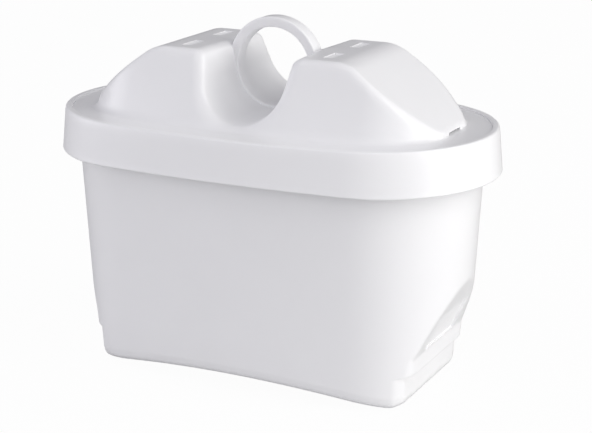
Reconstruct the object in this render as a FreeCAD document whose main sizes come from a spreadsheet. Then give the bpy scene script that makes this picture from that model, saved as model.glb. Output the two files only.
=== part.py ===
import FreeCAD, Part
import math
import os
import re
import Sketcher

# Water pitcher filter cartridge: an oval cup with a hanging collar, a welded lid
# with two vented humps and a pull ring between them, screens and the filter bed.
# Millimetres. The origin is under the middle of the base, X runs along the
# cartridge, Y across it and Z up. The cup's foot stands on Z = 0.

SIZES = {
    # Oval outline of the collar at the rim, and how far its end radius falls
    # short of its half width, which gives the long sides their bow
    "collar_length": 110.0,
    "collar_width": 63.6,
    "side_bow": 2.3,
    "rim_height": 63.5,
    "rim_land": 1.7,
    # Skirt that hangs from the rim and spreads a little towards its lower edge
    "skirt_height": 10.6,
    "skirt_flare": 1.0,
    "skirt_wall": 1.5,
    "flange_thickness": 1.5,
    # Tapered cup wall, set in from the collar outline at the rim and at the base
    "cup_wall": 1.6,
    "cup_inset_rim": 2.75,
    "cup_inset_base": 6.1,
    # Base: a foot set back from the collar's end, a ledge that steps out above it,
    # a wall that leans out from there, and an arch between flat pads at the ends
    "foot_setback": 13.8,
    "ledge_height": 8.0,
    "ledge_step": 2.0,
    "recess_knee": 12.0,
    "recess_angle": 24.0,
    "foot_pad": 2.5,
    "arch_rise": 4.0,
    # Outlet window in each leaning wall, with a screen set into it
    "window_width": 18.0,
    "window_bottom": 12.4,
    "window_top": 21.0,
    "screen_thickness": 0.5,
    "screen_depth": 0.6,
    # Lid deck, which drops into the rim
    "deck_sink": 0.4,
    "deck_thickness": 1.6,
    "seat_clearance": 0.1,
    # Dome of the lid: an oval foot, set in from the collar's outline, and a crown
    # that its end and side walls draw in to
    "lid_wall": 1.5,
    "dome_end_margin": 7.7,
    "dome_side_margin": 9.3,
    "crown_height": 80.0,
    "crown_end_draw": 4.0,
    "crown_side_draw": 7.05,
    "crown_bow": 0.9,
    # End slopes of the dome, from the flat crown over a shoulder to a low lip
    "crown_flat": 22.0,
    "shoulder_radius": 10.0,
    "slope_radius": 240.0,
    "lip_setback": 1.5,
    "lip_height": 1.2,
    "notch_width": 7.0,
    "notch_height": 0.7,
    # Saddle between the humps, which widens towards its two mouths
    "saddle_radius": 9.9,
    "saddle_draft": 10.0,
    "mouth_radius": 10.5,
    "mouth_draft": 17.0,
    # Pull ring that stands across the saddle
    "ring_height": 74.8,
    "ring_bore": 9.5,
    "ring_band": 2.5,
    "ring_thickness": 4.0,
    # Vent slots in the crown of each hump, from the bar between them to a margin
    # inside the crown's edge
    "slot_width": 2.4,
    "slot_offset": 18.6,
    "slot_bar": 8.2,
    "slot_margin": 4.75,
    # Rounded and bevelled edges
    "lip_round": 0.8,
    "ring_bevel": 0.6,
    "corner_round": 5.0,
    # Screen under the lid and the bed of granules in the cup
    "inlet_screen_thickness": 0.6,
    "inlet_screen_lap": 1.6,
    "bed_clearance": 0.3,
    "bed_top": 50.0,
}

# Places that follow from the sizes above, as formulas
DECK_TOP = "(rim_height - deck_sink)"
SEAT = "(rim_height - deck_sink - deck_thickness)"
FLANGE = "(rim_height - deck_sink - deck_thickness - flange_thickness)"
SKIRT_EDGE = "(rim_height - skirt_height)"
FOOT_END = "(collar_length / 2 - foot_setback)"
RECESS_END = "(collar_length / 2 - foot_setback + ledge_step)"
ARCH_END = "(collar_length / 2 - foot_setback - foot_pad)"
DOME_LENGTH = "(collar_length - 2 * dome_end_margin)"
DOME_WIDTH = "(collar_width - 2 * dome_side_margin)"
CROWN_LENGTH = "(collar_length - 2 * dome_end_margin - 2 * crown_end_draw)"
CROWN_WIDTH = "(collar_width - 2 * dome_side_margin - 2 * crown_side_draw)"
LIP_END = "(collar_length / 2 - dome_end_margin - lip_setback)"

doc = FreeCAD.newDocument("cartridge")
sheet = doc.addObject("Spreadsheet::Sheet", "dims")
for row, (name, size) in enumerate(SIZES.items(), start=1):
    sheet.set(f"A{row}", name)
    sheet.set(f"B{row}", str(size))
    sheet.setAlias(f"B{row}", name)
doc.recompute()


def formula(text):
    """Names of sizes in a formula become references to the cells of the sheet."""
    return re.sub(r"[a-z_]+", lambda word: "dims." + word[0] if word[0] in SIZES else word[0], text)


def value(text):
    """What a formula comes to with the present sizes."""
    return float(sheet.evalExpression(formula(text)))


def bind(sketch, index, text):
    sketch.setExpression(f"Constraints[{index}]", formula(text))


def pin(sketch, edge, end, x, y):
    """Holds one end of an edge at a place that two formulas give. In a sketch, edge
    -1 is the axis along it, which starts at the origin, and -2 the axis across."""
    for kind, axis, text in (("DistanceX", -2, x), ("DistanceY", -1, y)):
        if text == "0":
            sketch.addConstraint(Sketcher.Constraint("PointOnObject", edge, end, axis))
        else:
            bind(sketch, sketch.addConstraint(Sketcher.Constraint(kind, -1, 1, edge, end, value(text))), text)


def new_body(name):
    body = doc.addObject("PartDesign::Body", name)
    body.Label = name
    return body


def new_sketch(body, name, plane="XY_Plane", offset="0"):
    """Sketch on one of the body's own planes, moved off it along its normal."""
    sketch = body.newObject("Sketcher::SketchObject", name)
    origin = next(item for item in body.Origin.OriginFeatures if item.Role == plane)
    sketch.AttachmentSupport = [(origin, "")]
    sketch.MapMode = "FlatFace"
    sketch.setExpression("AttachmentOffset.Base.z", formula(offset))
    doc.recompute()
    return sketch


def oval(body, name, height, length, width, bow="side_bow"):
    """Four tangent arcs: small ones round the ends, large ones along the sides."""
    sketch = new_sketch(body, name, "XY_Plane", height)
    end_radius = f"({width} / 2 - {bow})"
    centre = f"({length} / 2 - {end_radius})"
    side_radius = f"((({length} / 2) ^ 2 + ({width} / 2) ^ 2 - {length} * {end_radius}) / (2 * {bow}))"
    across = value(f"{side_radius} - {width} / 2")
    turn = math.atan2(value(centre), across)
    quarter = math.pi / 2
    arcs = (
        (value(centre), 0, end_radius, turn - quarter, quarter - turn),
        (0, -across, side_radius, quarter - turn, quarter + turn),
        (-value(centre), 0, end_radius, quarter + turn, 3 * quarter - turn),
        (0, across, side_radius, 3 * quarter - turn, 3 * quarter + turn),
    )
    for x, y, radius, start, stop in arcs:
        circle = Part.Circle(FreeCAD.Vector(x, y, 0), FreeCAD.Vector(0, 0, 1), value(radius))
        sketch.addGeometry(Part.ArcOfCircle(circle, start, stop))
    for arc in range(4):
        sketch.addConstraint(Sketcher.Constraint("Tangent", arc, 2, (arc + 1) % 4, 1))
    pin(sketch, 0, 3, centre, "0")
    pin(sketch, 2, 3, f"-{centre}", "0")
    for arc, radius in ((0, end_radius), (1, side_radius)):
        bind(sketch, sketch.addConstraint(Sketcher.Constraint("Radius", arc, value(radius))), radius)
        sketch.addConstraint(Sketcher.Constraint("Equal", arc, arc + 2))
    return sketch


def bent_edge(start, stop, radius):
    """Arc between two places. A positive radius has its centre on the left."""
    chord = stop - start
    side = math.sqrt(radius ** 2 - (chord.Length / 2) ** 2)
    left = FreeCAD.Vector(-chord.y, chord.x, 0).normalize()
    centre = start + chord * 0.5 + left * math.copysign(side, radius)
    ends = (start, stop) if radius > 0 else (stop, start)
    first, last = (math.atan2(end.y - centre.y, end.x - centre.x) for end in ends)
    return Part.ArcOfCircle(Part.Circle(centre, FreeCAD.Vector(0, 0, 1), abs(radius)), first, last)


def chain(sketch, corners):
    """Closed outline. A corner is two formulas for its place, and a third for
    the radius of the edge that starts there where that edge is an arc. A corner
    given as two numbers is only near its place: the arcs that meet there are
    tangent, and the first one's centre lies on the line before it."""
    first_edge = sketch.GeometryCount
    count = len(corners)
    places = [FreeCAD.Vector(*(value(item) if isinstance(item, str) else item for item in corner[:2]), 0)
              for corner in corners]
    heads, tails = [], []
    for index, corner in enumerate(corners):
        start, stop = places[index], places[(index + 1) % count]
        bent = len(corner) == 3
        if bent:
            radius = value(corner[2])
            sketch.addGeometry(bent_edge(start, stop, radius))
        else:
            sketch.addGeometry(Part.LineSegment(start, stop))
        backwards = bent and radius < 0
        heads.append(2 if backwards else 1)
        tails.append(1 if backwards else 2)
    for index, corner in enumerate(corners):
        edge = first_edge + index
        before = first_edge + (index - 1) % count
        free = not isinstance(corner[0], str)
        joint = "Tangent" if free else "Coincident"
        sketch.addConstraint(Sketcher.Constraint(joint, before, tails[index - 1], edge, heads[index]))
        if free:
            sketch.addConstraint(Sketcher.Constraint("PointOnObject", before, 3, first_edge + (index - 2) % count))
        else:
            pin(sketch, edge, heads[index], *corner[:2])
        if len(corner) == 3:
            size = corner[2].lstrip("-")
            bind(sketch, sketch.addConstraint(Sketcher.Constraint("Radius", edge, value(size))), size)
    return sketch


def box_corners(x_low, x_high, y_low, y_high):
    return [(x_low, y_low), (x_high, y_low), (x_high, y_high), (x_low, y_high)]


def loft(body, name, sections, cut=False):
    """Straight-sided loft through the sections, added to the body or cut from it."""
    feature = body.newObject("PartDesign::SubtractiveLoft" if cut else "PartDesign::AdditiveLoft", name)
    feature.Profile = sections[0]
    feature.Sections = sections[1:]
    feature.Ruled = True
    doc.recompute()
    return feature


def extrude(body, name, sketch, length, cut=False, both_ways=True, reverse=False):
    """Pad or pocket of a sketch, to both sides of it unless told otherwise."""
    feature = body.newObject("PartDesign::Pocket" if cut else "PartDesign::Pad", name)
    feature.Profile = sketch
    feature.SideType = "Symmetric" if both_ways else "One side"
    feature.Reversed = reverse
    feature.setExpression("Length", formula(length))
    doc.recompute()
    return feature


def fuse_body(body, name, tool, kind):
    """Joins another body to this one, or takes it away."""
    feature = body.newObject("PartDesign::Boolean", name)
    feature.Type = kind
    feature.setObjects([tool])
    doc.recompute()
    return feature


def is_sharp(shape, edge):
    """Whether the two faces at an edge meet at an angle there."""
    middle = edge.valueAt((edge.FirstParameter + edge.LastParameter) / 2)
    faces = shape.ancestorsOfType(edge, Part.Face)
    if len(faces) < 2:
        return False
    normals = [face.normalAt(*face.Surface.parameter(middle)) for face in faces]
    return normals[0].getAngle(normals[1]) > math.radians(8)


def ease_edges(body, name, size, wanted, bevel=False):
    """Rounds or bevels the sharp edges whose box, given to wanted, makes it true."""
    base = body.Tip
    names = [f"Edge{index}" for index, edge in enumerate(base.Shape.Edges, start=1)
             if wanted(edge.BoundBox) and is_sharp(base.Shape, edge)]
    feature = body.newObject("PartDesign::Chamfer" if bevel else "PartDesign::Fillet", name)
    feature.Base = (base, names)
    feature.setExpression("Size" if bevel else "Radius", formula(size))
    doc.recompute()
    return feature


def inset_at(height):
    """How far the cup's outer wall stands in from the collar outline."""
    return f"(cup_inset_base + (cup_inset_rim - cup_inset_base) * {height} / rim_height)"


def collar_oval(body, name, height, inset):
    return oval(body, name, height, f"(collar_length - 2 * {inset})", f"(collar_width - 2 * {inset})")


def leaning_wall(height, depth="0"):
    """X of the leaning end wall at a height, at a depth under its outer face."""
    return (f"({RECESS_END} + ({height} - recess_knee) * tan(recess_angle)"
            f" - {depth} / cos(recess_angle))")


def tapered_block(body, inset, bottom, top):
    """The cup's outer form, or what lies a set distance inside its wall: a
    tapered oval block with its two ends cut back and an arch under it."""
    sections = [collar_oval(body, body.Label + "_low", bottom, f"({inset_at(bottom)} + {inset})"),
                collar_oval(body, body.Label + "_high", top, f"({inset_at(top)} + {inset})")]
    loft(body, body.Label + "_block", sections)

    ends = new_sketch(body, body.Label + "_ends", "XZ_Plane")
    ledge = f"(ledge_height + {inset})"
    knee = f"(recess_knee + {inset} * tan(recess_angle / 2))"
    for side in ("", "-"):
        chain(ends, [
            (f"{side}({FOOT_END} - {inset})", "-1"),
            (f"{side}({FOOT_END} - {inset})", ledge),
            (f"{side}({RECESS_END} - {inset})", ledge),
            (f"{side}({RECESS_END} - {inset})", knee),
            (f"{side}{leaning_wall(SKIRT_EDGE, inset)}", SKIRT_EDGE),
            (f"{side}collar_length", SKIRT_EDGE),
            (f"{side}collar_length", "-1"),
        ])
    extrude(body, body.Label + "_end_cuts", ends, "2 * collar_width", cut=True)

    under = new_sketch(body, body.Label + "_under", "XZ_Plane")
    arch_radius = f"(({ARCH_END} ^ 2 + arch_rise ^ 2) / (2 * arch_rise))"
    chain(under, [
        (f"-{ARCH_END}", "-1"),
        (ARCH_END, "-1"),
        (ARCH_END, inset, arch_radius),
        (f"-{ARCH_END}", inset),
    ])
    extrude(body, body.Label + "_arch", under, "2 * collar_width", cut=True)


def make_cup():
    """One moulding: tapered cup, skirt round its rim, seat for the lid, windows."""
    chamber = new_body("chamber")
    tapered_block(chamber, "cup_wall", "cup_wall", "rim_height")

    cup = new_body("cup")
    loft(cup, "skirt", [
        collar_oval(cup, "skirt_low", SKIRT_EDGE, "(-skirt_flare)"),
        collar_oval(cup, "skirt_high", "rim_height", "0"),
    ])
    loft(cup, "skirt_groove", [
        collar_oval(cup, "groove_low", SKIRT_EDGE, "(skirt_wall - skirt_flare)"),
        collar_oval(cup, "groove_high", FLANGE,
                    f"(skirt_wall - skirt_flare * (rim_height - {FLANGE}) / skirt_height)"),
    ], cut=True)
    block = new_body("cup_block")
    tapered_block(block, "0", "0", "rim_height")
    foot_start = value(ARCH_END)
    end_radius = "(collar_width / 2 - side_bow)"
    foot_half_width = f"sqrt(({end_radius} - cup_inset_base) ^ 2 - ({end_radius} - foot_setback) ^ 2)"
    ease_edges(block, "corner_rounds", f"min(corner_round; 0.3 * {foot_half_width})",
               lambda box: box.ZLength > 1 and box.ZLength > box.XLength / 2
               and box.ZMax < value("rim_height") - 1 and abs(box.Center.x) > foot_start)
    fuse_body(cup, "cup_wall_form", block, "Fuse")
    fuse_body(cup, "hollow", chamber, "Cut")
    seat = collar_oval(cup, "seat_outline", "rim_height", "rim_land")
    extrude(cup, "lid_seat", seat, "deck_sink + deck_thickness", cut=True, both_ways=False)
    windows = new_sketch(cup, "window_outline", "YZ_Plane")
    chain(windows, box_corners("-window_width / 2", "window_width / 2", "window_bottom", "window_top"))
    extrude(cup, "windows", windows, "collar_length", cut=True)
    return cup


def dome_form(body, inset, bottom, rest):
    """The dome's outer form, or what lies a set distance inside it: an oval loft
    with sloped ends and the saddle scooped out of its middle."""
    name = body.Label
    crown = f"(crown_height - {inset})"
    loft(body, name + "_form", [
        oval(body, name + "_foot", bottom, f"({DOME_LENGTH} - 2 * {inset})", f"({DOME_WIDTH} - 2 * {inset})"),
        oval(body, name + "_crown", crown, f"({CROWN_LENGTH} - 2 * {inset})",
             f"({CROWN_WIDTH} - 2 * {inset})", "crown_bow"),
    ])

    slopes = new_sketch(body, name + "_slopes", "XZ_Plane")
    lip = f"({LIP_END} - {inset})"
    lip_top = f"({DECK_TOP} + lip_height - 0.42 * {inset})"
    shoulder = f"(shoulder_radius - {inset})"
    slope = f"(slope_radius - {inset})"
    tangent_point = shoulder_end(value(shoulder), value(slope), value(crown), value(lip), value(lip_top))
    for side in (1, -1):
        sign, turn = ("", "-") if side > 0 else ("-", "")
        chain(slopes, [
            (f"{sign}crown_flat", "crown_height + 2"),
            (f"{sign}crown_flat", crown, f"{turn}{shoulder}"),
            (side * tangent_point[0], tangent_point[1], f"{turn}{slope}"),
            (f"{sign}{lip}", lip_top),
            (f"{sign}{lip}", rest),
            (f"{sign}{DOME_LENGTH}", rest),
            (f"{sign}{DOME_LENGTH}", "crown_height + 2"),
        ])
    extrude(body, name + "_slope_cuts", slopes, f"2 * {DOME_WIDTH}", cut=True)

    sections = []
    for place, offset, radius, draft in (
        ("front", f"{DOME_WIDTH} / 2", "mouth_radius", "mouth_draft"),
        ("middle", "0", "saddle_radius", "saddle_draft"),
        ("rear", f"-{DOME_WIDTH} / 2", "mouth_radius", "mouth_draft"),
    ):
        section = new_sketch(body, f"{name}_saddle_{place}", "XZ_Plane", offset)
        wall = f"({radius} + {inset})"
        half = f"({wall} * cos({draft}))"
        low = f"(ring_height - {wall} * sin({draft}))"
        top = "(crown_height + 2)"
        spread = f"({half} + ({top} - {low}) * tan({draft}))"
        sections.append(chain(section, [
            (f"-{half}", low, wall),
            (half, low),
            (spread, top),
            (f"-{spread}", top),
        ]))
    loft(body, name + "_saddle", sections, cut=True)


def shoulder_end(shoulder, slope, crown, lip, lip_top):
    """Where the shoulder's arc passes into the slope's larger arc, which ends at
    the lip: the larger centre lies on a circle round each of the two points."""
    centre = FreeCAD.Vector(value("crown_flat"), crown - shoulder, 0)
    to_lip = FreeCAD.Vector(lip, lip_top, 0) - centre
    gap = to_lip.Length
    along = ((slope - shoulder) ** 2 - slope ** 2 + gap ** 2) / (2 * gap)
    aside = math.sqrt((slope - shoulder) ** 2 - along ** 2)
    ahead = to_lip / gap
    across = FreeCAD.Vector(ahead.y, -ahead.x, 0)
    outward = (ahead * along + across * aside) * (-1 / (slope - shoulder))
    return centre.x + shoulder * outward.x, centre.y + shoulder * outward.y


def make_lid():
    """One moulding: deck, hollow dome with the saddle, pull ring, vents, notches."""
    inside = new_body("dome_inside")
    dome_form(inside, "lid_wall", SEAT, SEAT)
    dome = new_body("dome")
    dome_form(dome, "0", DECK_TOP, DECK_TOP)
    deck_top = value(DECK_TOP)
    ease_edges(dome, "lip_rounds", "lip_round",
               lambda box: box.ZMin > deck_top + 0.1 and box.ZLength < 0.1
               and box.XLength < 0.1 and abs(box.Center.x) > value("crown_flat") + 1)

    lid = new_body("lid")
    deck = collar_oval(lid, "deck_outline", SEAT, "(rim_land + seat_clearance)")
    extrude(lid, "deck", deck, "deck_thickness", both_ways=False)
    fuse_body(lid, "dome_on_deck", dome, "Fuse")
    fuse_body(lid, "dome_hollow", inside, "Cut")

    hoop = new_body("hoop")
    ring = new_sketch(hoop, "ring_outline", "XZ_Plane")
    for radius in ("ring_bore", "(ring_bore + ring_band)"):
        circle = Part.Circle(FreeCAD.Vector(0, value("ring_height"), 0), FreeCAD.Vector(0, 0, 1), value(radius))
        edge = ring.addGeometry(circle)
        bind(ring, ring.addConstraint(Sketcher.Constraint("Radius", edge, value(radius))), radius)
        pin(ring, edge, 3, "0", "ring_height")
    extrude(hoop, "ring", ring, "ring_thickness")
    ease_edges(hoop, "ring_bevels", "ring_bevel", lambda box: box.YLength < 0.1, bevel=True)
    fuse_body(lid, "ring_in_saddle", hoop, "Fuse")

    slots = new_sketch(lid, "slot_outlines", "XY_Plane", "crown_height")
    for side in ("", "-"):
        for row in ("", "-"):
            x = f"{side}slot_offset"
            chain(slots, box_corners(f"{x} - slot_width / 2", f"{x} + slot_width / 2",
                                     f"{row}slot_bar / 2", f"{row}({CROWN_WIDTH} / 2 - slot_margin)"))
    extrude(lid, "vent_slots", slots, "2 * lid_wall", cut=True, both_ways=False)

    notches = new_sketch(lid, "notch_outlines", "XY_Plane", f"({DECK_TOP} + notch_height)")
    for side in ("", "-"):
        chain(notches, box_corners(f"{side}({LIP_END} - 1.5 * lid_wall)", f"{side}({LIP_END} + 1)",
                                   "-notch_width / 2", "notch_width / 2"))
    extrude(lid, "notches", notches, "notch_height", cut=True, both_ways=False)
    return lid


def make_outlet_screen(name, side):
    """Fine mesh panel that fills a window, parallel to the leaning wall."""
    screen = new_body(name)
    section = new_sketch(screen, name + "_section", "XZ_Plane")
    back = "(screen_depth + screen_thickness)"
    chain(section, [
        (side + leaning_wall("window_bottom", "screen_depth"), "window_bottom"),
        (side + leaning_wall("window_top", "screen_depth"), "window_top"),
        (side + leaning_wall("window_top", back), "window_top"),
        (side + leaning_wall("window_bottom", back), "window_bottom"),
    ])
    extrude(screen, name + "_mesh", section, "window_width")
    return screen


def make_inlet_screen():
    """Fine mesh sheet under the dome's opening, which keeps the granules in."""
    screen = new_body("inlet_screen")
    outline = oval(screen, "inlet_outline", SEAT, f"({DOME_LENGTH} - 2 * lid_wall + 2 * inlet_screen_lap)",
                   f"({DOME_WIDTH} - 2 * lid_wall + 2 * inlet_screen_lap)")
    extrude(screen, "inlet_mesh", outline, "inlet_screen_thickness", both_ways=False, reverse=True)
    return screen


def make_bed():
    """Packed granules, which fill the cup up to some way under the lid."""
    bed = new_body("filter_bed")
    inset = "(cup_wall + bed_clearance)"
    tapered_block(bed, inset, inset, "bed_top")
    return bed


nodes = [
    make_cup(),
    make_lid(),
    make_inlet_screen(),
    make_outlet_screen("outlet_screen_left", "-"),
    make_outlet_screen("outlet_screen_right", ""),
    make_bed(),
]
doc.recompute()

for item in doc.Objects:
    if "Invalid" in item.State or "Error" in item.State:
        raise RuntimeError(f"{item.Label} failed: {item.getStatusString()}")
for body in doc.findObjects("PartDesign::Body"):
    if body.Shape.isNull() or not body.Shape.isValid():
        raise RuntimeError(f"{body.Label} has no valid shape")

os.makedirs("parts", exist_ok=True)
for node in nodes:
    node.Shape.exportStep(os.path.join("parts", node.Label + ".step"))
    bounds = node.Shape.BoundBox
    print(f"{node.Label}: {len(node.Shape.Solids)} solid, {node.Shape.Volume / 1000:.2f} cm3, "
          f"{bounds.XLength:.1f} x {bounds.YLength:.1f} x {bounds.ZLength:.1f}")
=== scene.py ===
import math

import bpy
import numpy as np
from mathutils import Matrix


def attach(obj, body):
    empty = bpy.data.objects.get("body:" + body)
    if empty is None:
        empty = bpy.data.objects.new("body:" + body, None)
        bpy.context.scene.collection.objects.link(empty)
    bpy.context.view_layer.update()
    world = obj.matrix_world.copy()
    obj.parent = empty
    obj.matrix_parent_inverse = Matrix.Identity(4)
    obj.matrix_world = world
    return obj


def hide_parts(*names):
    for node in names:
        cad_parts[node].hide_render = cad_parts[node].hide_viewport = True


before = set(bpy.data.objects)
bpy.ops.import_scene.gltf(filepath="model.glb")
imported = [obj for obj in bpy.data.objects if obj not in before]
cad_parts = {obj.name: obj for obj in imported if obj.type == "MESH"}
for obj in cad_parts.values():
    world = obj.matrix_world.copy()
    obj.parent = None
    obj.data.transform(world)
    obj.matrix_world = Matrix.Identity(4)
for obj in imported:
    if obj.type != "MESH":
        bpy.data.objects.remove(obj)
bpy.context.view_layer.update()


# Cup and collar. One injection moulding in semi-gloss white polypropylene: a deep
# oval cup that tapers towards its base, and round its rim a skirt that hangs free
# of the cup, so that the cartridge sits in a pitcher's funnel. Sizes are in mm.

COLLAR_LENGTH, COLLAR_WIDTH, SIDE_BOW = 110.0, 63.6, 2.3
RIM_HEIGHT, RIM_LAND, RIM_INNER_ROUND, RIM_OUTER_ROUND = 63.5, 1.7, 0.3, 0.6
SEAT_HEIGHT, FLANGE_HEIGHT = 61.5, 60.0
SKIRT_EDGE, SKIRT_FLARE, SKIRT_WALL = 52.9, 1.0, 1.5
SKIRT_ROUND, SKIRT_CHAMFER, SKIRT_FLARE_AT_FLANGE = 0.35, 0.2, 0.35
CUP_WALL, CUP_END_WALL, CUP_INSET_RIM, CUP_INSET_BASE, BASE_ROUND = 1.6, 1.76, 2.75, 6.1, 2.2
ARCH_HALF_SPAN, ARCH_RISE = 38.7, 4.0
FOOT_REACH, LEDGE_REACH, LEDGE_HEIGHT = 41.2, 43.2, 8.0
KNEE_HEIGHT, RECESS_LEAN, RECESS_TOP, RECESS_DEEPEST = 12.0, 24.0, 40.0, 22.0
WINDOW_HALF, WINDOW_BOTTOM, WINDOW_TOP, WINDOW_DEPTH = 9.0, 12.4, 21.0, 1.2
JAMB_RAMP, SILL_RAMP, HEAD_RAMP, WINDOW_NEAREST = 0.3, 0.04, 0.2, 40.0
END_STEPS, SIDE_STEPS, HALVINGS = 150, 44, 36
RIM_INNER_STEPS, RIM_OUTER_STEPS, SKIRT_STEPS, BASE_STEPS = 5, 6, 5, 7
SHARP_ANGLE, MM_PER_METRE = 32, 1000

# The ledge over the foot, from its lower edge to its upper one, and how softly the cup's
# end and side meet at each height.
LEDGE_HEIGHTS = LEDGE_HEIGHT + np.array([-0.3, -0.07, 0.0, 0.07, 0.3])
LEDGE_REACHES = (FOOT_REACH, FOOT_REACH + 0.1, (FOOT_REACH + LEDGE_REACH) / 2,
                 LEDGE_REACH - 0.15, LEDGE_REACH)
CORNER_HEIGHTS, CORNER_SOFTNESS = (0, 8, 12, 22, 30), (2.4, 1.7, 0.8, 0.35, 0.3)

# Where the cup's rows lie: close together over the cut-back ends, the ledge and the
# window's edges, and far apart where the wall is straight.
INSIDE_HEIGHTS = (2, 4, 6, 7.9, 8.1, 9.6, 12, 14, 17, 20, 23, 26, 28, 30, 33, 45, SEAT_HEIGHT)
INSIDE_SCALES, BASE_SCALES = (0.02, 0.3, 0.6, 0.85, 0.98), (0.9, 0.7, 0.45, 0.2, 0.02)
SKIRT_HEIGHTS = np.linspace(RIM_HEIGHT - 1, SKIRT_EDGE + 0.6, 8)
WALL_HEIGHTS = np.unique(np.concatenate([
    np.linspace(FLANGE_HEIGHT - 1, 31, 12), np.linspace(30, LEDGE_HEIGHT + 1, 54),
    [WINDOW_BOTTOM, WINDOW_BOTTOM + SILL_RAMP, WINDOW_TOP - HEAD_RAMP, WINDOW_TOP],
    LEDGE_HEIGHTS, np.linspace(LEDGE_HEIGHT - 0.8, BASE_ROUND + 0.4, 7)]))[::-1]


def oval_arcs(length, width, bow):
    """End radius, side radius, and the distances of the end arcs' and side arcs' centres
    from the middle, for an oval of four arcs that pass smoothly into each other."""
    end_radius = width / 2 - bow
    side_radius = ((length / 2) ** 2 + (width / 2) ** 2 - length * end_radius) / (2 * bow)
    return end_radius, side_radius, length / 2 - end_radius, side_radius - width / 2


def oval_ring(length, width, bow):
    """Points and outward normals round an oval: each point is its arc's centre plus the
    arc's radius times the normal, and the normal's angle runs once round the circle."""
    end_radius, side_radius, along, across = oval_arcs(length, width, bow)
    side = math.atan2(along, across)
    end = math.pi / 2 - side
    angles = np.concatenate([
        np.linspace(-end, end, END_STEPS, endpoint=False),
        np.linspace(end, math.pi - end, SIDE_STEPS, endpoint=False),
        np.linspace(math.pi - end, math.pi + end, END_STEPS, endpoint=False),
        np.linspace(math.pi + end, 2 * math.pi - end, SIDE_STEPS, endpoint=False),
    ])
    kind = np.repeat([0, 1, 2, 3], [END_STEPS, SIDE_STEPS, END_STEPS, SIDE_STEPS])
    normals = np.column_stack([np.cos(angles), np.sin(angles)])
    centres = np.array([[along, 0], [0, -across], [-along, 0], [0, across]])[kind]
    radii = np.array([end_radius, side_radius, end_radius, side_radius])[kind]
    return centres + radii[:, None] * normals, normals


def oval_distance(x, y, length, width, bow):
    """How far a point lies outside an oval: its distance from the centre of the arc whose
    sector it is in, less the radius of that arc."""
    end_radius, side_radius, along, across = oval_arcs(length, width, bow)
    x, y = np.abs(x), np.abs(y)
    by_side = x * across < along * (y + across)
    return np.where(by_side, np.hypot(x, y + across) - side_radius,
                    np.hypot(x - along, y) - end_radius)


def crossing(outside, low, high):
    """Where a distance outside a shape turns positive between two arrays of values, found
    for all of them at once by halving the range again and again."""
    for _ in range(HALVINGS):
        middle = (low + high) / 2
        inside = outside(middle) < 0
        low, high = np.where(inside, middle, low), np.where(inside, high, middle)
    return (low + high) / 2


def end_reach(height):
    """Half length of the cup where its ends are cut back: straight over the foot, a step
    out at the ledge, and from the knee upwards a line that leans out."""
    past_knee = np.maximum(height - KNEE_HEIGHT, 0)
    return (np.interp(height, LEDGE_HEIGHTS, LEDGE_REACHES)
            + past_knee * math.tan(math.radians(RECESS_LEAN)))


def cut_back(x, y, inset, reach, soft):
    """Moves the ends of an oval section in to the reach. The new outline is where the
    distances outside the oval and outside the reach, each plus the softness, have squares
    that sum to the softness squared, which rounds the corner between them."""
    end_radius, _, along, _ = oval_arcs(COLLAR_LENGTH, COLLAR_WIDTH, SIDE_BOW)
    at_end = np.repeat([True, False, True, False], [END_STEPS, SIDE_STEPS, END_STEPS, SIDE_STEPS])

    def outside(distance):
        past_oval = np.hypot(distance - along, y) - (end_radius - inset)
        past_reach = distance - reach
        return np.hypot(np.maximum(past_oval + soft, 0), np.maximum(past_reach + soft, 0)) - soft

    shortest = np.maximum(np.abs(x) - RECESS_DEEPEST, along)
    return np.where(at_end, np.sign(x) * crossing(outside, shortest, np.abs(x)), x)


def window_depth(x, y, height):
    """Depth of the window's pocket, which lies only in the two end walls: its full depth
    within the frame, and a straight ramp down from each edge of the frame."""
    beside = np.clip((WINDOW_HALF - np.abs(y)) / JAMB_RAMP, 0, 1)
    above = np.clip(min((height - WINDOW_BOTTOM) / SILL_RAMP, (WINDOW_TOP - height) / HEAD_RAMP), 0, 1)
    return WINDOW_DEPTH * beside * above * (np.abs(x) > WINDOW_NEAREST)


def arch_height(x):
    """Height of the base over the middle of its long sides: a circular arc, zero at the feet."""
    radius = (ARCH_HALF_SPAN ** 2 + ARCH_RISE ** 2) / (2 * ARCH_RISE)
    return np.maximum(ARCH_RISE - radius + np.sqrt(radius ** 2 - x ** 2), 0)


def cup_inset(height):
    """Inset of the cup's outer wall from the collar's outline, in a straight line by height."""
    return CUP_INSET_BASE + (CUP_INSET_RIM - CUP_INSET_BASE) * height / RIM_HEIGHT


def cup_row(height, inset, wall=0.0, scale=1.0, lift=0.0, pocket=False):
    """One closed row round the cup: the collar's oval moved in by the inset, cut back at
    its ends, shrunk to the scale, and raised where the base is arched."""
    outline, normals = oval_ring(COLLAR_LENGTH, COLLAR_WIDTH, SIDE_BOW)
    x, y = (outline - inset * normals).T
    if height < RECESS_TOP:
        soft = np.interp(height, CORNER_HEIGHTS, CORNER_SOFTNESS)
        x = cut_back(x, y, inset, end_reach(height) - wall, soft)
    if pocket:
        x = x - np.sign(x) * window_depth(x, y, height)
    x, y = x * scale, y * scale
    arch = arch_height(x)
    z = lift + arch + height * (1 - arch / RIM_HEIGHT)
    return np.column_stack([x, y, z])


def corner_steps(radius, steps):
    """How far a rounded edge stays short of its sharp corner along each of the two sides,
    in equal steps of a quarter turn: the radius times one less the sine or the cosine."""
    angles = np.linspace(0, math.pi / 2, steps)
    return zip(radius * (1 - np.sin(angles)), radius * (1 - np.cos(angles)))


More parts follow.
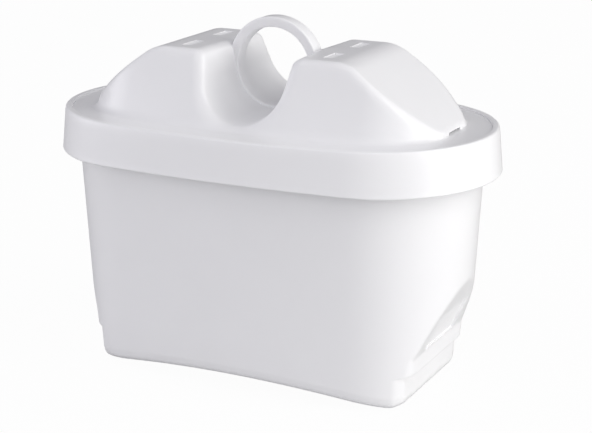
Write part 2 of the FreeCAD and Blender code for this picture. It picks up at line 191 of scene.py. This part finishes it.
def cup_rows():
    """Rows from the middle of the cup's inside floor up its wall, over the rim, down the
    skirt and up its inner face, and down the outer wall to the middle of the base."""
    rows = [cup_row(0, cup_inset(0) + CUP_WALL, CUP_WALL, scale, lift=CUP_WALL)
            for scale in INSIDE_SCALES]
    rows += [cup_row(height, cup_inset(height) + CUP_WALL, CUP_END_WALL)
             for height in INSIDE_HEIGHTS]
    rows.append(cup_row(SEAT_HEIGHT, RIM_LAND))
    rows += [cup_row(RIM_HEIGHT - below, RIM_LAND - inwards)
             for below, inwards in corner_steps(RIM_INNER_ROUND, RIM_INNER_STEPS)]
    rows += [cup_row(RIM_HEIGHT - below, inwards)
             for inwards, below in corner_steps(RIM_OUTER_ROUND, RIM_OUTER_STEPS)]
    rows += [cup_row(height, -SKIRT_FLARE * (RIM_HEIGHT - height) / (RIM_HEIGHT - SKIRT_EDGE))
             for height in SKIRT_HEIGHTS]
    rows += [cup_row(SKIRT_EDGE + above, inwards - SKIRT_FLARE)
             for above, inwards in corner_steps(SKIRT_ROUND, SKIRT_STEPS)]
    rows += [cup_row(SKIRT_EDGE, SKIRT_WALL - SKIRT_FLARE - SKIRT_CHAMFER),
             cup_row(SKIRT_EDGE + SKIRT_CHAMFER, SKIRT_WALL - SKIRT_FLARE),
             cup_row(FLANGE_HEIGHT, SKIRT_WALL - SKIRT_FLARE_AT_FLANGE),
             cup_row(FLANGE_HEIGHT, cup_inset(FLANGE_HEIGHT))]
    rows += [cup_row(height, cup_inset(height), pocket=True) for height in WALL_HEIGHTS]
    rows += [cup_row(above, cup_inset(0) + inwards, inwards)
             for above, inwards in corner_steps(BASE_ROUND, BASE_STEPS)]
    return rows + [cup_row(0, cup_inset(0) + BASE_ROUND, BASE_ROUND, scale)
                   for scale in BASE_SCALES]


def loop_faces(rows, columns):
    """Four-sided faces between neighbouring rows of a grid whose rows are closed."""
    row, column = np.meshgrid(np.arange(rows - 1), np.arange(columns), indexing="ij")
    after = (column + 1) % columns
    corners = [row * columns + column, row * columns + after,
               (row + 1) * columns + after, (row + 1) * columns + column]
    return np.stack(corners, -1).reshape(-1, 4)


def capped_tube(rows):
    """Rows of points as one closed skin: faces between them, and a fan of triangles from
    the middle of the first row and of the last."""
    count, columns = len(rows), len(rows[0])
    points = np.vstack([*rows, rows[0].mean(0), rows[-1].mean(0)])
    start, after = np.arange(columns), (np.arange(columns) + 1) % columns
    last = (count - 1) * columns
    first_fan = np.column_stack([after, start, np.full(columns, count * columns)])
    last_fan = np.column_stack([last + start, last + after, np.full(columns, count * columns + 1)])
    return points, [loop_faces(count, columns), first_fan, last_fan]


def signed_volume(points, faces):
    """Six times the volume under a group of faces: the triple products of the corners of
    their triangles added up, which is positive where the faces point outwards."""
    corners = [points[corner] for corner in faces.T]
    return sum(np.einsum("ij,ij->", corners[0], np.cross(second, third))
               for second, third in zip(corners[1:], corners[2:]))


def add_object(name, data):
    """An object that holds a mesh, lamp or camera, linked into the scene."""
    thing = bpy.data.objects.new(name, data)
    bpy.context.scene.collection.objects.link(thing)
    return thing


def moulded_piece(name, shells, material, nodes):
    """One object from closed shells, each a pair of points in mm and face arrays. A shell
    whose volume comes out negative is turned so that its faces point outwards."""
    points, faces, start = [], [], 0
    for shell_points, shell_faces in shells:
        outwards = sum(signed_volume(shell_points, group) for group in shell_faces) > 0
        for group in shell_faces:
            faces += ((group if outwards else group[:, ::-1]) + start).tolist()
        points.append(shell_points)
        start += len(shell_points)
    mesh = bpy.data.meshes.new(name)
    mesh.from_pydata(np.vstack(points) / MM_PER_METRE, [], faces)
    mesh.validate()
    mesh.shade_smooth()
    mesh.set_sharp_from_angle(angle=math.radians(SHARP_ANGLE))
    mesh.materials.append(material)
    piece = add_object(name, mesh)
    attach(piece, "root")
    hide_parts(*nodes)


def fill_sockets(tree, node, values):
    """Fills a node's inputs. Another node's output is linked in, and a constant is set on
    the input itself."""
    for socket, value in values.items():
        if isinstance(value, bpy.types.NodeSocket):
            tree.links.new(value, node.inputs[socket])
        else:
            node.inputs[socket].default_value = value


def add_node(tree, kind, values, **settings):
    """A shader node of one kind, with its settings made and then its inputs filled."""
    node = tree.nodes.new(kind)
    for setting, value in settings.items():
        setattr(node, setting, value)
    fill_sockets(tree, node, values)
    return node


def maths(tree, operation, *values):
    """The result of one operation on two or three values, as an output to link from."""
    return add_node(tree, "ShaderNodeMath", dict(enumerate(values)), operation=operation).outputs[0]


def new_material(name):
    """A material, its node tree, and the shader that the tree starts with."""
    material = bpy.data.materials.new(name)
    material.use_nodes = True
    return material, material.node_tree, material.node_tree.nodes["Principled BSDF"]


# Scale and detail of each noise in the plastic's skin.
CLOUDS, PEEL, WAVES = (45, 3), (2600, 2), (160, 1)
ROUGHNESS_SWING, SKIN_RELIEF, POLYPROPYLENE_IOR = 0.07, 0.00005, 1.49


def moulded_skin_group():
    """Surface of a moulded plastic: cloudy flow marks that shift the colour and the
    roughness a little, and fine orange peel and larger sink waves added up as a height."""
    tree = bpy.data.node_groups.new("moulded_skin", "ShaderNodeTree")
    colour, number = "NodeSocketColor", "NodeSocketFloat"
    for name, kind, start in (("Colour", colour, (0.8, 0.8, 0.8, 1)), ("Mottle", number, 0.02),
                              ("Roughness", number, 0.35), ("Peel", number, 0.2)):
        tree.interface.new_socket(name, in_out="INPUT", socket_type=kind).default_value = start
    for name, kind in (("Colour", colour), ("Roughness", number), ("Height", number)):
        tree.interface.new_socket(name, in_out="OUTPUT", socket_type=kind)
    given, result = tree.nodes.new("NodeGroupInput"), tree.nodes.new("NodeGroupOutput")
    place = tree.nodes.new("ShaderNodeTexCoord").outputs["Object"]
    clouds, peel, waves = (
        add_node(tree, "ShaderNodeTexNoise", {"Vector": place, "Scale": scale, "Detail": detail})
        for scale, detail in (CLOUDS, PEEL, WAVES))
    centred = maths(tree, "SUBTRACT", clouds.outputs["Fac"], 0.5)
    shade = maths(tree, "MULTIPLY_ADD", centred, given.outputs["Mottle"], 1.0)
    tint = add_node(tree, "ShaderNodeMix", {"Factor": 1.0, "A": given.outputs["Colour"], "B": shade},
                    data_type="RGBA", blend_type="MULTIPLY")
    rough = maths(tree, "MULTIPLY_ADD", centred, ROUGHNESS_SWING, given.outputs["Roughness"])
    fine = maths(tree, "MULTIPLY", peel.outputs["Fac"], given.outputs["Peel"])
    height = maths(tree, "ADD", fine, waves.outputs["Fac"])
    fill_sockets(tree, result, {"Colour": tint.outputs["Result"], "Roughness": rough, "Height": height})
    return tree


def moulded_material(name, colour, mottle, roughness, peel, bump, group):
    """Plastic that the skin group colours and roughens, with its height as a small bump."""
    material, tree, shader = new_material(name)
    skin = add_node(tree, "ShaderNodeGroup", {"Colour": (*colour, 1), "Mottle": mottle,
                                              "Roughness": roughness, "Peel": peel}, node_tree=group)
    relief = add_node(tree, "ShaderNodeBump", {"Strength": bump, "Distance": SKIN_RELIEF,
                                               "Height": skin.outputs["Height"]})
    fill_sockets(tree, shader, {"Base Color": skin.outputs["Colour"], "IOR": POLYPROPYLENE_IOR,
                                "Roughness": skin.outputs["Roughness"],
                                "Normal": relief.outputs["Normal"]})
    return material


moulded_skin = moulded_skin_group()
cup_plastic = moulded_material("cup_plastic", (0.895, 0.895, 0.9), mottle=0.03, roughness=0.35,
                               peel=0.25, bump=0.25, group=moulded_skin)
moulded_piece("cup_moulding", [capped_tube(cup_rows())], cup_plastic, ["cup"])


# Outlet screens and inlet screen. Fine woven polyester mesh, moulded into the window
# at each end of the cup and fixed under the lid, so that no granules get out.

MESH_PITCH, MESH_RELIEF, HOLE_SHADE = 0.0005, 0.0001, 0.86
MESH_COLOUR, MESH_ROUGHNESS, MESH_BUMP = (0.93, 0.93, 0.935), 0.6, 0.5
WAVE_LENGTH_AT_SCALE_ONE = 0.314


def woven_mesh_material():
    """Mesh with square holes: two crossed waves of one pitch, the threads where either
    is high, darker in the holes, and the threads' round tops as a bump."""
    material, tree, shader = new_material("screen_mesh")
    place = tree.nodes.new("ShaderNodeTexCoord").outputs["Object"]
    scale = WAVE_LENGTH_AT_SCALE_ONE / MESH_PITCH
    weft, warp = (
        add_node(tree, "ShaderNodeTexWave", {"Vector": place, "Scale": scale}, bands_direction=axis)
        for axis in ("Y", "Z"))
    threads = maths(tree, "MAXIMUM", weft.outputs["Fac"], warp.outputs["Fac"])
    holes = (*(HOLE_SHADE * part for part in MESH_COLOUR), 1)
    colours = add_node(tree, "ShaderNodeMix", {"Factor": threads, "A": holes, "B": (*MESH_COLOUR, 1)},
                       data_type="RGBA")
    relief = add_node(tree, "ShaderNodeBump", {"Strength": MESH_BUMP, "Distance": MESH_RELIEF,
                                               "Height": threads})
    fill_sockets(tree, shader, {"Base Color": colours.outputs["Result"], "Roughness": MESH_ROUGHNESS,
                                "Normal": relief.outputs["Normal"]})
    return material


def dress_nodes(nodes, material):
    """Puts one material into every slot of the carried-over nodes."""
    for node in nodes:
        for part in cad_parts[node].material_slots:
            part.material = material


dress_nodes(("outlet_screen_left", "outlet_screen_right", "inlet_screen"), woven_mesh_material())


# Filter bed. Packed carbon and resin granules that fill most of the cup. They are
# loose in the real cartridge, and only their dark speckle would show through a screen.

GRANULE_SCALE, GRANULE_RELIEF, GRANULE_ROUGHNESS, CARBON_SHARE = 1200, 0.0004, 0.7, 0.6
CARBON, RESIN = (0.03, 0.03, 0.032, 1), (0.42, 0.28, 0.14, 1)


def granule_material():
    """Granules about 0.8 mm across: cells of a Voronoi pattern, some dark carbon and some
    amber resin by each cell's random colour, rounded by the distance to the cell's middle."""
    material, tree, shader = new_material("granules")
    place = tree.nodes.new("ShaderNodeTexCoord").outputs["Object"]
    cells = add_node(tree, "ShaderNodeTexVoronoi", {"Vector": place, "Scale": GRANULE_SCALE})
    kinds = add_node(tree, "ShaderNodeValToRGB", {"Fac": cells.outputs["Color"]})
    kinds.color_ramp.interpolation = "CONSTANT"
    carbon, resin = kinds.color_ramp.elements
    carbon.color = CARBON
    resin.position, resin.color = CARBON_SHARE, RESIN
    relief = add_node(tree, "ShaderNodeBump", {"Distance": GRANULE_RELIEF,
                                               "Height": cells.outputs["Distance"]}, invert=True)
    fill_sockets(tree, shader, {"Base Color": kinds.outputs["Color"], "Roughness": GRANULE_ROUGHNESS,
                                "Normal": relief.outputs["Normal"]})
    return material


dress_nodes(("filter_bed",), granule_material())


# Lid. One moulding in the same white plastic, welded into the rim: a flat deck, a dome
# with two humps and a saddle scooped between them, vent slots in the humps' flat tops,
# and a ring that stands in the saddle for pulling the cartridge out.

DECK_TOP, DECK_EDGE_INSET, DECK_EDGE_BAND = 63.1, 1.71, 0.25
DECK_EDGE_ROUND = ((0.1, 0.01), (0.17, 0.04), (0.22, 0.09), (0.24, 0.16))
DOME_FOOT, DOME_CROWN, CROWN_HEIGHT = (94.6, 45.0, 2.3), (86.6, 30.9, 0.9), 80.0
CROWN_FLAT, SHOULDER_RADIUS, SLOPE_RADIUS, WALL_COSINE = 22.0, 10.0, 240.0, 0.93
LIP_REACH, LIP_HEIGHT, PAST_LIP, SHORT_OF_UPRIGHT = 45.8, 64.3, 2.0, 0.99
LOWEST, HIGHEST = DECK_TOP - 0.5, CROWN_HEIGHT + 1
SADDLE_CENTRE, SADDLE_RADII, SADDLE_DRAFTS = 74.8, (9.9, 10.8), (9.0, 13.0)
SADDLE_REACH, SADDLE_OVERRUN, SADDLE_SOFTNESS = 22.5, 1.1, 2.7
EDGE_PLACES, EDGE_SOFTNESS = (13.0, 22.0, 41.0, 45.0), (1.8, 1.25, 1.25, 0.38)
COVE_PLACES, COVE_RADII = (44.2, 45.6), (1.3, 0.03)
SLOT_X, SLOT_Y, SLOT_START, SLOT_FALL, SLOT_RISE = (17.35, 19.85), (4.1, 10.7), 79.8, 0.6, 0.45
NOTCH_HALF, NOTCH_TOP, NOTCH_BACK = 3.5, 63.75, 43.3
GRID_REACHES, GRID_STEP, GRID_STRAIGHT, GRID_TAPER = (48.6, 24.2), 0.42, 27.0, 22.6
EDGE_GAP, LINE_GAP = 0.01, 0.08


def slope_line(x):
    """Height and steepness of the dome's end slope: flat over the crown, then an arc round
    the shoulder, then a flatter arc that meets it smoothly and ends at the lip."""
    centre = np.array([CROWN_FLAT, CROWN_HEIGHT - SHOULDER_RADIUS])
    to_lip = np.array([LIP_REACH, LIP_HEIGHT]) - centre
    gap, spread = np.hypot(*to_lip), SLOPE_RADIUS - SHOULDER_RADIUS
    along = (spread ** 2 - SLOPE_RADIUS ** 2 + gap ** 2) / (2 * gap)
    ahead = to_lip / gap
    across = np.array([ahead[1], -ahead[0]])
    far = centre + ahead * along + across * math.sqrt(spread ** 2 - along ** 2)
    join = centre[0] + SHOULDER_RADIUS * (centre - far)[0] / spread
    x = np.abs(x)
    shoulder = np.clip(x - centre[0], 0, SHOULDER_RADIUS * SHORT_OF_UPRIGHT)
    slope = np.clip(x, join, LIP_REACH + PAST_LIP) - far[0]
    shoulder_rise = np.sqrt(SHOULDER_RADIUS ** 2 - shoulder ** 2)
    slope_rise = np.sqrt(SLOPE_RADIUS ** 2 - slope ** 2)
    height = np.where(x < join, centre[1] + shoulder_rise, far[1] + slope_rise)
    steep = np.where(x < join, shoulder / shoulder_rise, slope / slope_rise)
    return height, steep


def dome_side(x, y, z):
    """Distance outside the dome's side wall, whose oval section shrinks evenly from the
    foot to the crown, taken square to the leaning wall."""
    part = (z - DECK_TOP) / (CROWN_HEIGHT - DECK_TOP)
    length, width, bow = (foot + (crown - foot) * part for foot, crown in zip(DOME_FOOT, DOME_CROWN))
    return WALL_COSINE * oval_distance(x, y, length, width, bow)


def saddle_depth(x, y, z):
    """Depth inside the saddle's U: a half round with drafted walls on it, wider and more
    drafted towards its mouths. Under the tangent point the round counts, over it the wall."""
    out = np.minimum(np.abs(y) / SADDLE_REACH, SADDLE_OVERRUN)
    radius = SADDLE_RADII[0] + (SADDLE_RADII[1] - SADDLE_RADII[0]) * out
    draft = np.radians(SADDLE_DRAFTS[0] + (SADDLE_DRAFTS[1] - SADDLE_DRAFTS[0]) * out)
    x, z = np.abs(x), z - SADDLE_CENTRE
    on_wall = z * np.cos(draft) + x * np.sin(draft) > 0
    return radius - np.where(on_wall, x * np.cos(draft) - z * np.sin(draft), np.hypot(x, z))


def lid_height(x, y):
    """Height of the lid's upper face over each point. The solid's corners are rounded by
    adding up the squares of its four distances, each over its own softness, and its foot by
    a hollow cove on the deck. Both shrink towards the crisp lip, and the rounds grow at the
    saddle. The height is found by halving the range."""
    slope, steep = slope_line(x)
    soft = np.interp(np.abs(x), EDGE_PLACES, EDGE_SOFTNESS)
    cove = np.interp(np.abs(x), COVE_PLACES, COVE_RADII)

    def outside(z):
        distances = ((dome_side(x, y, z), soft), ((z - slope) / np.sqrt(1 + steep ** 2), soft),
                     (np.abs(x) - LIP_REACH, soft), (saddle_depth(x, y, z), SADDLE_SOFTNESS))
        squares = sum(np.maximum(distance / own + 1, 0) ** 2 for distance, own in distances)
        dome, deck = soft * (np.sqrt(squares) - 1), z - DECK_TOP
        return np.maximum(np.minimum(dome, deck), cove) - np.hypot(
            np.maximum(cove - dome, 0), np.maximum(cove - deck, 0))

    return crossing(outside, np.full(x.shape, LOWEST), np.full(x.shape, HIGHEST))


def slot_floor(x, y):
    """Height of a vent slot's floor: it falls along X from the slot's left edge, like a
    louvre, but no lower than a line that rises along Y to the slot's back edge."""
    left = np.where(x > 0, SLOT_X[0], -SLOT_X[1])
    back = np.where(y > 0, SLOT_Y[1], -SLOT_Y[0])
    return SLOT_START - np.minimum(SLOT_FALL * (x - left), SLOT_RISE * (back - y))


def grid_lines(reach, edges):
    """Lines from minus to plus the reach in even steps, and a close pair at each edge and
    its mirror image, with no even line near a pair."""
    lines = np.linspace(-reach, reach, int(2 * reach / GRID_STEP) + 1)
    pairs = np.array([sign * edge + shift for edge in edges for sign in (-1, 1)
                      for shift in (-EDGE_GAP, EDGE_GAP)])
    lines = lines[np.min(np.abs(lines[:, None] - pairs[None]), axis=1) > LINE_GAP]
    return np.sort(np.concatenate([lines, pairs]))


def lid_grid():
    """The lid's upper face on a grid of lines along and across it. Its width narrows
    towards its ends as an ellipse does, and the vent slots are sunk into it."""
    along = grid_lines(GRID_REACHES[0], (*SLOT_X, LIP_REACH))
    across = grid_lines(GRID_REACHES[1], SLOT_Y)
    past_straight = np.maximum(np.abs(along) - GRID_STRAIGHT, 0)
    x = np.repeat(along[:, None], len(across), axis=1)
    y = across * np.sqrt(1 - (past_straight / GRID_TAPER) ** 2)[:, None]
    in_slot = ((np.abs(x) > SLOT_X[0]) & (np.abs(x) < SLOT_X[1])
               & (np.abs(y) > SLOT_Y[0]) & (np.abs(y) < SLOT_Y[1]))
    z = np.where(in_slot, slot_floor(x, y), lid_height(x, y))
    return along, np.stack([x, y, z], -1)


def lip_notch(points, index, along, side):
    """The slot under a lip. Between the lip's row and the deck's, the wall's faces give way
    to a strip that goes in under the lip, down, and out on the deck. Each of its two open
    ends has five corners and is closed by three triangles."""
    row = np.searchsorted(along, side * LIP_REACH) - 1
    near = np.flatnonzero(np.abs(points[index[row], 1]) < NOTCH_HALF)
    y = points[index[row, near], 1]
    lip_row, deck_row = (row, row + 1) if side > 0 else (row + 1, row)
    inner = [np.column_stack([np.full(len(y), side * x), y, np.full(len(y), z)]) for x, z in
             ((LIP_REACH - EDGE_GAP, NOTCH_TOP), (NOTCH_BACK, NOTCH_TOP), (NOTCH_BACK, DECK_TOP))]
    added = [len(points) + number * len(y) + np.arange(len(y)) for number in range(len(inner))]
    chain = np.array([index[lip_row, near], *added, index[deck_row, near]])
    fan = np.array([[0, 1, 2], [0, 2, 3], [0, 3, 4]])
    ends = np.vstack([chain[::-1, 0][fan], np.roll(chain[:, -1], 1)[fan]])
    strip = np.stack([chain[:-1, :-1], chain[1:, :-1], chain[1:, 1:], chain[:-1, 1:]], -1).reshape(-1, 4)
    if side < 0:
        strip, ends = strip[:, ::-1], ends[:, ::-1]
    return np.vstack(inner), strip, ends, (row, near[0], near[-1])


def deck_border(points, border):
    """The deck from the grid's border to the lid's edge, over its rounded corner and down
    to the seat, and a flat underside. The edge is where a line from the middle through
    each border point comes within the edge's inset of the collar's outline."""
    inner, count = points[border, :2], len(border)

    def outside(scale):
        return (oval_distance(*(inner.T * scale), COLLAR_LENGTH, COLLAR_WIDTH, SIDE_BOW)
                + DECK_EDGE_INSET + DECK_EDGE_BAND)

    rim = inner * crossing(outside, np.ones(count), np.full(count, 2.0))[:, None]
    outward = rim / np.hypot(*rim.T)[:, None]
    last_reach = DECK_EDGE_ROUND[-1][0]
    outlines = [((inner + rim) / 2, DECK_TOP), (rim, DECK_TOP)]
    outlines += [(rim + outward * reach, DECK_TOP - drop) for reach, drop in DECK_EDGE_ROUND]
    outlines += [(rim + outward * last_reach, SEAT_HEIGHT), (rim / 2, SEAT_HEIGHT)]
    rings = [np.column_stack([outline, np.full(count, height)]) for outline, height in outlines]

    start = len(points)
    ladder = np.vstack([border, start + np.arange(len(rings) * count).reshape(-1, count)])
    after = np.roll(ladder, -1, axis=1)
    faces = np.stack([ladder[:-1], after[:-1], after[1:], ladder[1:]], -1).reshape(-1, 4)
    fan = np.column_stack([ladder[-1], after[-1], np.full(count, start + len(rings) * count)])
    return np.vstack([*rings, [[0, 0, SEAT_HEIGHT]]]), faces[:, ::-1], fan[:, ::-1]


def lid_top():
    """The deck and dome as one closed skin: the grid with a notch under each lip, and round
    its border the rest of the deck."""
    along, grid = lid_grid()
    points = grid.reshape(-1, 3)
    index = np.arange(len(points)).reshape(grid.shape[:2])
    middle = np.stack([index[:-1, :-1], index[1:, :-1], index[1:, 1:], index[:-1, 1:]], -1)
    keep = np.ones(middle.shape[:2], bool)
    strips, ends = [], []
    for side in (-1, 1):
        inner, strip, end, (row, first, last) = lip_notch(points, index, along, side)
        keep[row, first:last] = False
        points = np.vstack([points, inner])
        strips.append(strip)
        ends.append(end)
    border = np.concatenate([index[:-1, 0], index[-1, :-1], index[:0:-1, -1], index[0, :0:-1]])
    deck_points, deck_faces, underside = deck_border(points, border)
    return (np.vstack([points, deck_points]),
            [np.vstack([middle[keep], *strips]), deck_faces, underside, *ends])


RING_BORE, RING_OUTSIDE, RING_HALF, RING_ROUND = 9.5, 12.0, 2.0, 0.5
RING_CORNER_STEPS, RING_STEPS = 7, 240


def pull_ring():
    """A band bent into a circle: its section is a rectangle with rounded corners, carried
    once round the ring's centre in the plane across the saddle."""
    outer, inner, side = RING_OUTSIDE - RING_ROUND, RING_BORE + RING_ROUND, RING_HALF - RING_ROUND
    quarter = np.linspace(0, math.pi / 2, RING_CORNER_STEPS)
    angles = (math.pi / 2 * np.arange(4)[:, None] + quarter).ravel()
    radius = np.repeat([outer, inner, inner, outer], RING_CORNER_STEPS) + RING_ROUND * np.cos(angles)
    depth = np.repeat([side, side, -side, -side], RING_CORNER_STEPS) + RING_ROUND * np.sin(angles)
    turn = np.linspace(0, 2 * math.pi, RING_STEPS, endpoint=False)[:, None]
    points = np.stack([radius * np.cos(turn), np.broadcast_to(depth, (RING_STEPS, len(depth))),
                       SADDLE_CENTRE + radius * np.sin(turn)], -1).reshape(-1, 3)
    return points, [loop_faces(RING_STEPS + 1, len(radius)) % len(points)]


# The lid's colour is the cup's white plastic with painted shade: it is set a little darker than the
# cup's, so that the lid's upward faces come out darker, as the lighting leaves them.
shaded_lid_plastic = moulded_material("shaded_lid_plastic", (0.87, 0.87, 0.877), mottle=0.025, roughness=0.34,
                               peel=0.2, bump=0.2, group=moulded_skin)
moulded_piece("lid_moulding", [lid_top(), pull_ring()], shaded_lid_plastic, ["lid"])


# Floor, sky, lights and camera. A pale seamless floor, a soft sky, two soft lights at the
# right, one low and one high, a third at the left, and the camera at the photograph's
# place and angle. Sizes are in metres.

FLOOR_REACH, FLOOR_DROP, FLOOR_GRAIN, FLOOR_ROUGHNESS = 3, 0.0001, 30, 0.9
FLOOR_COLOURS = ((0.73, 0.73, 0.73, 1), (0.77, 0.77, 0.77, 1))
FLOOR_WHITE_SHARE, FLOOR_IN_MIRROR = 0.965, 0.12
SKY_COLOUR, SKY_FROM_FRONT, SKY_FROM_ABOVE = (0.955, 0.945, 1.0, 1), 0.56, 0.42
SKY_IN_MIRROR, MIRROR_FADE = 0.15, 0.7


def floor_material():
    """Pale floor. To the camera it is mostly its own white, so it keeps a faint shadow,
    and mirrored in the plastic it is dark, as a black flag behind the object would be."""
    material, tree, shader = new_material("pale_floor")
    grain = add_node(tree, "ShaderNodeTexNoise", {"Scale": FLOOR_GRAIN}).outputs["Fac"]
    colours = add_node(tree, "ShaderNodeMix", {"Factor": grain, "A": FLOOR_COLOURS[0],
                                               "B": FLOOR_COLOURS[1]}, data_type="RGBA")
    fill_sockets(tree, shader, {"Base Color": colours.outputs["Result"], "Roughness": FLOOR_ROUGHNESS})
    white = add_node(tree, "ShaderNodeEmission", {"Strength": 1.0}).outputs[0]
    dark = add_node(tree, "ShaderNodeEmission", {"Strength": FLOOR_IN_MIRROR}).outputs[0]
    path = tree.nodes.new("ShaderNodeLightPath")
    white_share = maths(tree, "MULTIPLY", path.outputs["Is Camera Ray"], FLOOR_WHITE_SHARE)
    seen = add_node(tree, "ShaderNodeMixShader", {0: white_share, 1: shader.outputs[0], 2: white})
    surface = add_node(tree, "ShaderNodeMixShader", {0: path.outputs["Is Glossy Ray"],
                                                     1: seen.outputs[0], 2: dark})
    fill_sockets(tree, tree.nodes["Material Output"], {"Surface": surface.outputs[0]})
    return material


floor_corners = [(across * FLOOR_REACH, along * FLOOR_REACH, -FLOOR_DROP)
                 for across, along in ((-1, -1), (1, -1), (1, 1), (-1, 1))]
floor_mesh = bpy.data.meshes.new("floor")
floor_mesh.from_pydata(floor_corners, [], [(0, 1, 2, 3)])
floor_mesh.materials.append(floor_material())
floor = add_object("floor", floor_mesh)


def studio_sky():
    """Light from all round: one part fades from the front to the back and one grows from
    the horizon up, added together. Mirrored in the plastic it fades out behind the object,
    and to the camera it is a plain pale backdrop."""
    world = bpy.data.worlds.new("studio")
    world.use_nodes = True
    tree = world.node_tree
    direction = tree.nodes.new("ShaderNodeTexCoord").outputs["Generated"]
    parts = add_node(tree, "ShaderNodeSeparateXYZ", {0: direction}).outputs
    front = add_node(tree, "ShaderNodeMapRange", {"Value": parts["Y"], "From Min": -1.0,
                                                  "To Min": SKY_FROM_FRONT, "To Max": 0.0})
    above = add_node(tree, "ShaderNodeMapRange", {"Value": parts["Z"], "To Max": SKY_FROM_ABOVE})
    fade = add_node(tree, "ShaderNodeMapRange", {"Value": parts["Y"], "From Max": MIRROR_FADE,
                                                 "To Min": 1.0, "To Max": SKY_IN_MIRROR})
    ray = tree.nodes.new("ShaderNodeLightPath").outputs
    mirrored = add_node(tree, "ShaderNodeMix", {"Factor": ray["Is Glossy Ray"], "A": 1.0,
                                                "B": fade.outputs["Result"]})
    level = maths(tree, "ADD", front.outputs["Result"], above.outputs["Result"])
    surround = tree.nodes["Background"]
    fill_sockets(tree, surround, {"Color": SKY_COLOUR,
                                  "Strength": maths(tree, "MULTIPLY", level, mirrored.outputs["Result"])})
    backdrop = add_node(tree, "ShaderNodeBackground", {"Strength": 1.0})
    choice = add_node(tree, "ShaderNodeMixShader", {0: ray["Is Camera Ray"], 1: surround.outputs[0],
                                                    2: backdrop.outputs[0]})
    fill_sockets(tree, tree.nodes["World Output"], {"Surface": choice.outputs[0]})
    return world


bpy.context.scene.world = studio_sky()

WARM_WHITE, COOL_WHITE, LIGHT_TARGET = (1.0, 0.995, 0.97), (0.975, 0.965, 1.0), (0, 0, 0.04)
CAMERA_PLACE, CAMERA_TARGET = (0.17527, -0.34049, 0.14976), (0.004128, 0.002063, 0.037024)
CAMERA_LENS, CAMERA_SENSOR = 98.6, 36


def aim(thing, place, target):
    """Puts a lamp or camera at a place and turns it to look at the target: tipped up from
    straight down, and then turned about the upright axis."""
    thing.location = place
    look = np.array(target) - np.array(place)
    level = math.hypot(look[0], look[1])
    thing.rotation_euler = (math.atan2(level, -look[2]), 0, math.atan2(-look[0], look[1]))


def soft_light(name, place, size, power, colour):
    """A lamp that shines from a rectangle, of a size in metres and a power in watts."""
    lamp = bpy.data.lights.new(name, "AREA")
    lamp.shape = "RECTANGLE"
    lamp.size, lamp.size_y = size
    lamp.energy = power
    lamp.color = colour
    aim(add_object(name, lamp), place, LIGHT_TARGET)


soft_light("right_softbox", (1.15, 0.0, 0.2), (0.8, 0.36), 5.7, WARM_WHITE)
soft_light("upper_softbox", (1.0, 0.0, 0.8), (0.8, 0.8), 4.7, WARM_WHITE)
soft_light("left_softbox", (-1.2, -0.48, 0.22), (1.0, 0.5), 4.9, COOL_WHITE)

camera_data = bpy.data.cameras.new("camera")
camera_data.sensor_width = CAMERA_SENSOR
camera_data.lens = CAMERA_LENS
camera = add_object("camera", camera_data)
aim(camera, CAMERA_PLACE, CAMERA_TARGET)
bpy.context.scene.camera = camera
bpy.context.scene.view_settings.view_transform = "Standard"
